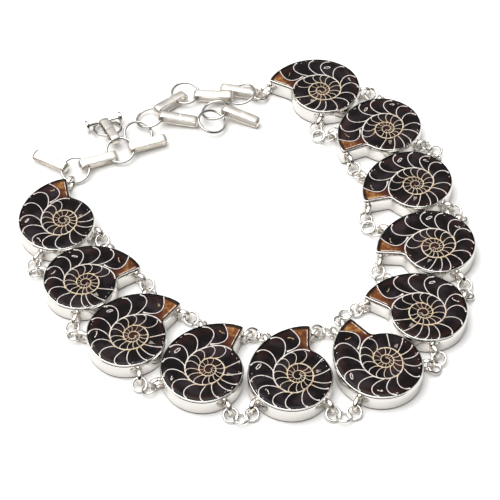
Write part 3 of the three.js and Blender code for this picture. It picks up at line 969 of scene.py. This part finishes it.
class CutFace:
    """Draws the walls and fillings that show on one polished face."""

    def __init__(self, shape, place, crown):
        self.shape = shape
        self.place = place
        self.crown = crown

    def share_out(self, flat):
        """How far out a point is: 0 at the spiral's middle, 1 at the outline."""
        degrees = math.degrees(math.atan2(flat[1], flat[0])) % 360
        return math.hypot(*flat) / outline_radius(min(degrees, NOTCH_DEG))

    def height(self, flat):
        """Height of the polished face."""
        return FACE_HEIGHT + self.crown * (1 - min(self.share_out(flat), 1.0) ** 2)

    def add_patch(self, ring, finish, lift):
        """A thin flat filling sunk in the face, bounded by a closed line."""
        tops = [self.place.point(p, self.height(p) + lift) for p in ring]
        bottoms = [self.place.point(p, self.height(p) - RIBBON_DEPTH) for p in ring]
        cuts = [(p[0], p[1], self.share_out(p)) for p in ring] * 2
        self.shape.add(tops + bottoms, rows_of_faces(2, len(ring), capped=True), finish, cuts)

    def add_line(self, line, half_widths, finish, lift):
        """A wall along a line on the face, as wide as each point says."""
        points, cuts = [], []
        for k, point in enumerate(line):
            ahead = line[min(k + 1, len(line) - 1)] - line[max(k - 1, 0)]
            normal = Vector((-ahead.y, ahead.x)).normalized()
            left, right = point + normal * half_widths[k], point - normal * half_widths[k]
            for flat, rise in ((left, lift), (right, lift), (right, -RIBBON_DEPTH), (left, -RIBBON_DEPTH)):
                points.append(self.place.point(flat, self.height(flat) + rise))
                cuts.append((flat.x, flat.y, self.share_out(flat)))
        self.shape.add(points, rows_of_faces(len(line), 4, capped=True), finish, cuts)


def septum_line(outer, inner, rim_angle, foot_angle, bulge, steps=SEPTUM_STEPS):
    """A chamber wall bowed towards the aperture, which runs out along the inner wall at its foot."""
    line = []
    for k in range(steps + 1):
        share = k / steps
        bow = bulge * math.sin(math.pi * share ** SEPTUM_BULGE_POWER)
        angle = rim_angle + (foot_angle - rim_angle) * share - bow
        start, end = outer(angle), inner(angle)
        line.append(polar(start + (end - start) * math.sin(math.pi / 2 * share), angle))
    return line


def flared(steps, half, flare):
    """Half widths along a chamber wall, wider where it meets the walls at both ends."""
    widths = []
    for k in range(steps):
        share = k / (steps - 1)
        at_rim = flare[0] * math.exp(-(share / FLARE_REACH[0]) ** 2)
        at_foot = flare[1] * math.exp(-((1 - share) / FLARE_REACH[1]) ** 2)
        widths.append(half * (1 + at_rim + at_foot))
    return widths


def add_corner(face, inner, foot_angle, septum, spread, lift):
    """The honey filling in the corner behind a chamber wall's foot."""
    reach = septum[-min(CORNER_CLIMB, len(septum) // 2)]
    angles = [foot_angle - spread * CORNER_FRONT]
    angles += [foot_angle + spread * k / CORNER_STEPS for k in range(CORNER_STEPS + 1)]
    ring = [polar(inner(angle), angle) for angle in angles]
    ring += [reach.lerp(ring[-1], 0.5), reach]
    face.add_patch(ring, CORNER, lift)


def draw_spiral(face, whorl_half):
    """The wall between the whorls, thinner towards the middle."""
    angles = range(WHORL_START_DEG, WHORL_END_DEG, WHORL_LINE_STEP_DEG)
    spiral = [polar(whorl_radius(angle), angle) for angle in angles]
    halves = []
    for angle in angles:
        thinned = max(angle - WHORL_THINS_FROM_DEG, 0) / WHORL_THINS_OVER_DEG
        halves.append(whorl_half * max(WHORL_THINNEST, WHORL_WIDEST - thinned))
    face.add_line(spiral, halves, WALL, SPIRAL_LIFT)


def draw_opening(face, wall_half):
    """The first chamber wall and the cut edge of the shell along the opening."""
    line = []
    for k in range(APERTURE_WALL_STEPS + 1):
        x = APERTURE_WALL_TO + (APERTURE_WALL_FROM - APERTURE_WALL_TO) * k / APERTURE_WALL_STEPS
        line.append(Vector((x, APERTURE_WALL_Y + APERTURE_WALL_RISE * (x - APERTURE_WALL_X) ** 2)))
    face.add_line(line, flared(len(line), wall_half, OPENING_FLARE), WALL, RIBBON_LIFT)
    tip, edge, length = opening_edge()
    inward = Vector((edge.y, -edge.x)) * SHELL_EDGE_INSET
    drawn = length - SHELL_EDGE_SHORTER
    steps = range(SHELL_EDGE_STEPS + 1)
    line = [tip + inward + edge * (SHELL_EDGE_START + drawn * k / SHELL_EDGE_STEPS) for k in steps]
    first, turn = SHELL_EDGE_WAVE
    halves = [wall_half * (0.5 + 0.5 * math.sin(first + k * turn) ** 2) for k in steps]
    face.add_line(line, halves, WALL, RIBBON_LIFT)


def draw_outer_whorl(face, rng, wall_half):
    """The chamber walls of the last whorl, with honey corners on its lower side."""
    def rim(angle):
        return outline_radius(min(angle, NOTCH_DEG)) - SEPTUM_RIM_INSET

    for rim_angle, foot_angle, bulge in OUTER_SEPTA:
        turn = rng.uniform(-SEPTUM_STRAY_DEG, SEPTUM_STRAY_DEG)
        bow = bulge * rng.uniform(*SEPTUM_BOW_SPREAD)
        line = septum_line(rim, whorl_radius, rim_angle + turn, foot_angle + turn, bow)
        face.add_line(line, flared(len(line), wall_half, OUTER_FLARE), WALL, RIBBON_LIFT)
        if rim_angle > FIRST_CORNER_DEG:
            add_corner(face, whorl_radius, foot_angle + turn, line, CORNER_SPREAD, CORNER_LIFT)


def draw_inner_whorls(face, rng, wall_half):
    """The small chambers of the second and third whorl."""
    for whorl, count, spread, bow, thin in INNER_WHORLS:
        outer = partial(inner_wall, whorl - 1)
        inner = partial(inner_wall, whorl)
        phase = rng.uniform(-INNER_PHASE_DEG, INNER_PHASE_DEG)
        for k in range(count):
            stray = rng.uniform(-INNER_STRAY_DEG, INNER_STRAY_DEG)
            angle = INNER_START_DEG + phase + INNER_SWEEP_DEG * k / count + stray
            foot_angle = angle + INNER_FOOT_DEG
            bulge = bow * (1 - INNER_BOW_LOSS * k / count)
            line = septum_line(outer, inner, angle, foot_angle, bulge, INNER_SEPTUM_STEPS)
            face.add_line(line, flared(len(line), wall_half * thin, INNER_FLARE), WALL, RIBBON_LIFT)
            add_corner(face, inner, foot_angle, line, spread, CORNER_LIFT)


def inner_wall(whorl, degrees):
    """Radius of the whorl wall, a number of whorls in from the outermost."""
    return whorl_radius(degrees + 360 * whorl)


def draw_curls(face, rng):
    """A slim curl in each of three chambers, the first one closed."""
    for low, high, turns in CURLS:
        angle = rng.uniform(low, high)
        share = rng.uniform(*CURL_SHARE)
        foot = whorl_radius(angle)
        middle = polar(foot + (outline_radius(angle) - foot) * share, angle)
        along = polar(rng.uniform(*CURL_REACH), angle + rng.uniform(*CURL_LEAN_DEG))
        across = Vector((-along.y, along.x)) * rng.uniform(*CURL_SLIMNESS)
        first = rng.uniform(0, math.tau)
        angles = [first + math.tau * t / CURL_STEPS for t in range(turns + 1)]
        curl = [middle + along * math.cos(a) + across * math.sin(a) for a in angles]
        widths = [CURL_HALF_WIDTH + CURL_SWELLING * math.sin(CURL_WAVES * a) ** 2 for a in angles]
        face.add_line(curl, widths, CORNER if turns < CURL_STEPS / 2 else WALL, MARK_LIFT)


def draw_mark(face, start, end, half_widths):
    """One short straight mark."""
    face.add_line([start, start.lerp(end, 0.5), end], half_widths, WALL, MARK_LIFT)


def draw_feathers(face, rng):
    """A few fine lines that spread from the whorl wall, the last ones leaning back."""
    foot_angle = rng.uniform(*FEATHER_FOOT_DEG)
    for k in range(FEATHER_COUNT):
        angle = foot_angle + FEATHER_STEP_DEG * k
        foot = whorl_radius(angle)
        lean = FEATHER_LEAN_DEG - FEATHER_SPREAD_DEG * k
        end = polar(foot + rng.uniform(*FEATHER_REACH), angle + lean)
        draw_mark(face, polar(foot + FEATHER_START, angle), end, FEATHER_HALF_WIDTHS)


def draw_specks(face, rng):
    """Short specks just inside the rim."""
    for _ in range(SPECK_COUNT):
        angle = rng.uniform(*SPECK_DEG)
        start = polar(outline_radius(angle) - rng.uniform(*SPECK_INSET), angle)
        end = start + polar(rng.uniform(*SPECK_LENGTH), angle + rng.uniform(*SPECK_LEAN_DEG))
        draw_mark(face, start, end, SPECK_HALF_WIDTHS)


def add_blank(shape, place, face):
    """The body of an ammonite half: underside, side and polished face."""
    points, cuts = [], []
    for by, z in FOSSIL_SECTION:
        row = inset(OUTLINE, by)
        points += [place.point(p, z) for p in row]
        cuts += [(p.x, p.y, 1.0) for p in row]
    edge = inset(OUTLINE, FOSSIL_SECTION[-1][0])
    for ring in range(1, FACE_RINGS):
        share = 1 - ring / FACE_RINGS
        flats = [p * share for p in edge]
        points += [place.point(p, face.height(p)) for p in flats]
        cuts += [(p.x, p.y, share * FACE_OUT) for p in flats]
    points.append(place.point((0.0, 0.0), FACE_HEIGHT + face.crown))
    cuts.append((0.0, 0.0, 0.0))
    count = len(OUTLINE)
    total = len(FOSSIL_SECTION) + FACE_RINGS - 1
    last = (total - 1) * count
    faces = rows_of_faces(total, count)
    faces += [(last + k, last + (k + 1) % count, total * count) for k in range(count)]
    faces.append(tuple(range(count)))
    shape.add(points, faces, FILLING, cuts)


def draw_cut_face(face, rng, wall_half, whorl_half):
    """Everything that shows on one cut face."""
    draw_spiral(face, whorl_half)
    draw_opening(face, wall_half)
    draw_outer_whorl(face, rng, wall_half)
    draw_inner_whorls(face, rng, wall_half)
    draw_curls(face, rng)
    draw_feathers(face, rng)
    draw_specks(face, rng)


class NECKLACE_OT_fossils(bpy.types.Operator):
    """Add the polished ammonite halves"""

    bl_idname = "necklace.fossils"
    bl_label = "Ammonite halves"

    def execute(self, context):
        colours, sizes = context.scene.necklace_colours, context.scene.necklace_sizes
        finishes = [chamber_calcite(colours), wall_calcite(colours), honey_calcite(colours)]
        crown = sizes.face_crown / MM
        for index in range(len(PLACES)):
            place = Place(index)
            shape = Shape()
            face = CutFace(shape, place, crown)
            add_blank(shape, place, face)
            rng = random.Random(FACE_SEED + index)
            draw_cut_face(face, rng, sizes.wall_line / MM / 2, sizes.whorl_line / MM / 2)
            shape.build(f"fossil_{index + 1}", finishes, f"ammonite_{index + 1}", "ammonite")
        return {"FINISHED"}


def add_cup(shape, place):
    """A bezel cup, with a dark line of painted contact shadow along its soldered seam at the foot."""
    points = []
    for by, z in CUP_SECTION:
        points += [place.point(p, z) for p in inset(OUTLINE, by)]
    faces = rows_of_faces(len(CUP_SECTION), len(OUTLINE), capped=True)
    foot_shadow_faces = FOOT_SHADOW_ROWS * len(OUTLINE)
    # The foot rows take the painted contact shadow, the rest is bright silver.
    shape.add(points, faces, [SHADOWED] * foot_shadow_faces + [BRIGHT] * (len(faces) - foot_shadow_faces))


class NECKLACE_OT_bezels(bpy.types.Operator):
    """Add the bezel cups with their soldered loops, and the end ring in the last loop"""

    bl_idname = "necklace.bezels"
    bl_label = "Bezel cups"

    def execute(self, context):
        colours = context.scene.necklace_colours
        # The middle finish paints contact shadow at the cups' feet.
        finishes = [burnished_silver(colours), painted_foot_shadow(colours), soldered_silver(colours)]
        shapes = [Shape() for _ in PLACES]
        for index, shape in enumerate(shapes):
            add_cup(shape, Place(index))
        for _, index, bases, aims, _ in joints():
            add_loop(shapes[index], bases[0], aims[0])
            add_loop(shapes[index + 1], bases[1], aims[1])
        for index, aim in ((0, START_LOOP_AIM), (len(PLACES) - 1, END_LOOP_AIM)):
            add_loop(shapes[index], Place(index).wall(TIP_LOOP, CHAIN_LOOP_INSET)[0], heading(aim))
        ring = end_ring()
        along = ring_plane(ring)[0]
        add_ring(shapes[-1], Vector(ring[:3]), along, ring[3], ring[5], JUMP_WIRE_RADIUS, END_RING_SEAM_DEG)
        for index, shape in enumerate(shapes):
            shape.build(f"bezel_cup_{index + 1}", finishes, f"bezel_{index + 1}", "silver")
        return {"FINISHED"}


class NECKLACE_OT_jump_rings(bpy.types.Operator):
    """Add the small jump rings between neighbouring bezels"""

    bl_idname = "necklace.jump_rings"
    bl_label = "Jump rings"

    def execute(self, context):
        silver = burnished_silver(context.scene.necklace_colours)
        rng = random.Random(JUMP_RING_SEED)
        for kind, index, _, _, points in joints():
            shape = Shape()
            for k, middle in enumerate(points[1:-1]):
                along = (points[k + 2] - points[k]).normalized()
                tilt = -JUMP_RING_TILT if k % 2 else JUMP_RING_TILT
                seam_at = rng.uniform(*JUMP_RING_SEAMS_DEG)
                add_ring(shape, middle, along, tilt, JUMP_RING_RADIUS, JUMP_WIRE_RADIUS, seam_at)
            shape.build(
                f"{kind}_ring_run_{index + 1}", [silver], f"{kind}_jump_rings_{index + 1}", "silver")
        return {"FINISHED"}


class NECKLACE_OT_chain_rings(bpy.types.Operator):
    """Add the large rings of the chain"""

    bl_idname = "necklace.chain_rings"
    bl_label = "Chain rings"

    def execute(self, context):
        silver = drawn_silver(context.scene.necklace_colours)
        rng = random.Random(CHAIN_RING_SEED)
        for number, name in enumerate(CHAIN_RINGS):
            ring = chain_ring(name)
            shape = Shape()
            add_ring(
                shape, Vector(ring[:3]), ring_plane(ring)[0], ring[3], ring[5], CHAIN_WIRE_RADIUS,
                rng.uniform(0, 360), CHAIN_RING_STEPS, CHAIN_RING_SIDES)
            shape.build(f"big_ring_{number + 1}", [silver], f"chain_ring_{number + 1}", "silver")
        return {"FINISHED"}


class NECKLACE_OT_links(bpy.types.Operator):
    """Add the folded strip links of the chain"""

    bl_idname = "necklace.links"
    bl_label = "Strip links"

    def execute(self, context):
        silver = rolled_silver(context.scene.necklace_colours)
        for number, (name, degrees, aim, past) in enumerate(CHAIN_LINKS):
            start, tangent = wire_at(chain_ring(name), degrees)
            if isinstance(aim[0], str):
                end, other = wire_at(chain_ring(aim[0]), aim[1])
                tangent = tangent + (other if other.dot(tangent) > 0 else -other)
                past = past or (LINK_LENGTH - (end - start).length) / 2
            else:
                end = Vector(aim)
            shape = Shape()
            add_folded_strip(shape, start, end, past, tangent)
            shape.build(f"strip_link_{number + 1}", [silver], f"chain_link_{number + 1}", "silver")
        return {"FINISHED"}


class NECKLACE_OT_toggle(bpy.types.Operator):
    """Add the toggle bar and the strip that holds it"""

    bl_idname = "necklace.toggle"
    bl_label = "Toggle bar"

    def execute(self, context):
        colours = context.scene.necklace_colours
        rolled = rolled_silver(colours)
        finishes = [burnished_silver(colours), rolled]
        along = heading(TOGGLE_TURN)
        shape = Shape()
        mirrored = [(-place, radius) for place, radius in reversed(TOGGLE_HALF[1:])]
        add_turned(shape, TOGGLE_MIDDLE, along, mirrored + list(TOGGLE_HALF), TOGGLE_SIDES)
        held = wire_at(chain_ring(TOGGLE_HOLDS[0]), TOGGLE_HOLDS[1])[0]
        length = (held - TOGGLE_MIDDLE).length + TOGGLE_FOLD + TOGGLE_PAST_WIRE
        add_folded_strip(shape, TOGGLE_MIDDLE, held, TOGGLE_FOLD, along, length, finishes.index(rolled))
        shape.build("toggle_and_strip", finishes, "toggle_bar", "silver")
        return {"FINISHED"}


def add_floor(scene):
    """Pale paper, a hair under the necklace."""
    mesh = bpy.data.meshes.new("studio_floor")
    half, low = FLOOR_HALF, -FLOOR_BELOW
    mesh.from_pydata(
        [(-half, -half, low), (half, -half, low), (half, half, low), (-half, half, low)], [], [(0, 1, 2, 3)])
    mesh.materials.append(floor_paper(scene.necklace_colours))
    floor = bpy.data.objects.new("studio_floor", mesh)
    scene.collection.objects.link(floor)
    floor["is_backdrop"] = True


def add_surroundings(scene):
    """A dim room that brightens upward, dark towards the camera, with two soft boxes."""
    world = bpy.data.worlds.new("studio_surroundings")
    scene.world = world
    world.use_nodes = True
    world.node_tree.nodes.clear()
    add = partial(add_node, world.node_tree)
    toward = add("TexCoord")["Generated"]
    _, far, height = add("SeparateXYZ", None, {0: toward})
    walls = add("MapRange", SMOOTH, {0: height, 1: 0.14, 2: 0.6, 3: 0.02, 4: 0.52})[0]
    ahead = add("MapRange", SMOOTH, {0: far, 1: -0.3, 2: 0.35, 3: 0.03, 4: 1.0})[0]
    shade = add("Math", TIMES, {0: ahead, 1: walls})[0]
    for direction, reach, light in SOFTBOXES:
        middle = Vector(direction).normalized()
        near = add("VectorMath", {"operation": "DOT_PRODUCT"}, {0: toward, 1: middle})["Value"]
        outer, inner = reach - SOFTBOX_EDGE[0], reach + SOFTBOX_EDGE[1]
        panel = add("MapRange", SMOOTH, {0: near, 1: outer, 2: inner, 3: 0.0, 4: light})[0]
        shade = add("Math", PLUS, {0: shade, 1: panel})[0]
    grey = add("CombineColor", None, {0: shade, 1: shade, 2: shade})[0]
    background = add("Background", None, {"Color": grey, "Strength": 1.0})[0]
    add("OutputWorld", None, {"Surface": background})
    scene.view_settings.view_transform = "Standard"


def add_camera(scene):
    """The camera, at the photograph's viewing angle."""
    camera = bpy.data.objects.new("camera", bpy.data.cameras.new("camera"))
    camera.data.lens = CAMERA_LENS
    camera.data.sensor_width = CAMERA_SENSOR
    camera.data.clip_start, camera.data.clip_end = CAMERA_CLIPS
    rise = math.radians(CAMERA_ELEVATION)
    back = Vector((0.0, -math.cos(rise), math.sin(rise)))
    camera.location = (CAMERA_TARGET + SHIFT + back * CAMERA_DISTANCE) * MM
    camera.rotation_euler = (-back).to_track_quat("-Z", "Y").to_euler()
    scene.collection.objects.link(camera)
    scene.camera = camera


class NECKLACE_OT_stage(bpy.types.Operator):
    """Add the floor, surroundings and camera"""

    bl_idname = "necklace.stage"
    bl_label = "Stage"

    def execute(self, context):
        add_floor(context.scene)
        add_surroundings(context.scene)
        add_camera(context.scene)
        return {"FINISHED"}


STEPS = (
    NECKLACE_OT_fossils, NECKLACE_OT_bezels, NECKLACE_OT_jump_rings, NECKLACE_OT_chain_rings,
    NECKLACE_OT_links, NECKLACE_OT_toggle, NECKLACE_OT_stage,
)


class NECKLACE_PT_panel(bpy.types.Panel):
    """Lists the necklace's pieces, sizes and colours"""

    bl_idname = "NECKLACE_PT_panel"
    bl_label = "Ammonite necklace"
    bl_space_type = "VIEW_3D"
    bl_region_type = "UI"
    bl_category = "Necklace"

    def draw(self, context):
        for group in (context.scene.necklace_sizes, context.scene.necklace_colours):
            for name in group.__annotations__:
                self.layout.prop(group, name)
        for step in STEPS:
            self.layout.operator(step.bl_idname)


CLASSES = (NecklaceColours, NecklaceSizes) + STEPS + (NECKLACE_PT_panel,)


def register():
    """Registers the classes and hangs their properties on the scene."""
    for cls in CLASSES:
        bpy.utils.register_class(cls)
    bpy.types.Scene.necklace_colours = PointerProperty(type=NecklaceColours)
    bpy.types.Scene.necklace_sizes = PointerProperty(type=NecklaceSizes)


def unregister():
    """Takes the properties and the classes away again."""
    del bpy.types.Scene.necklace_sizes
    del bpy.types.Scene.necklace_colours
    for cls in reversed(CLASSES):
        bpy.utils.unregister_class(cls)


def main():
    """Builds every piece in order."""
    register()
    bpy.ops.necklace.fossils()
    bpy.ops.necklace.bezels()
    bpy.ops.necklace.jump_rings()
    bpy.ops.necklace.chain_rings()
    bpy.ops.necklace.links()
    bpy.ops.necklace.toggle()
    bpy.ops.necklace.stage()
    boxes = {"cad": CAD_BOX, "visual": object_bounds()}
    {name: [list(corner) for corner in box] for name, box in boxes.items()}


if __name__ == "__main__":
    main()
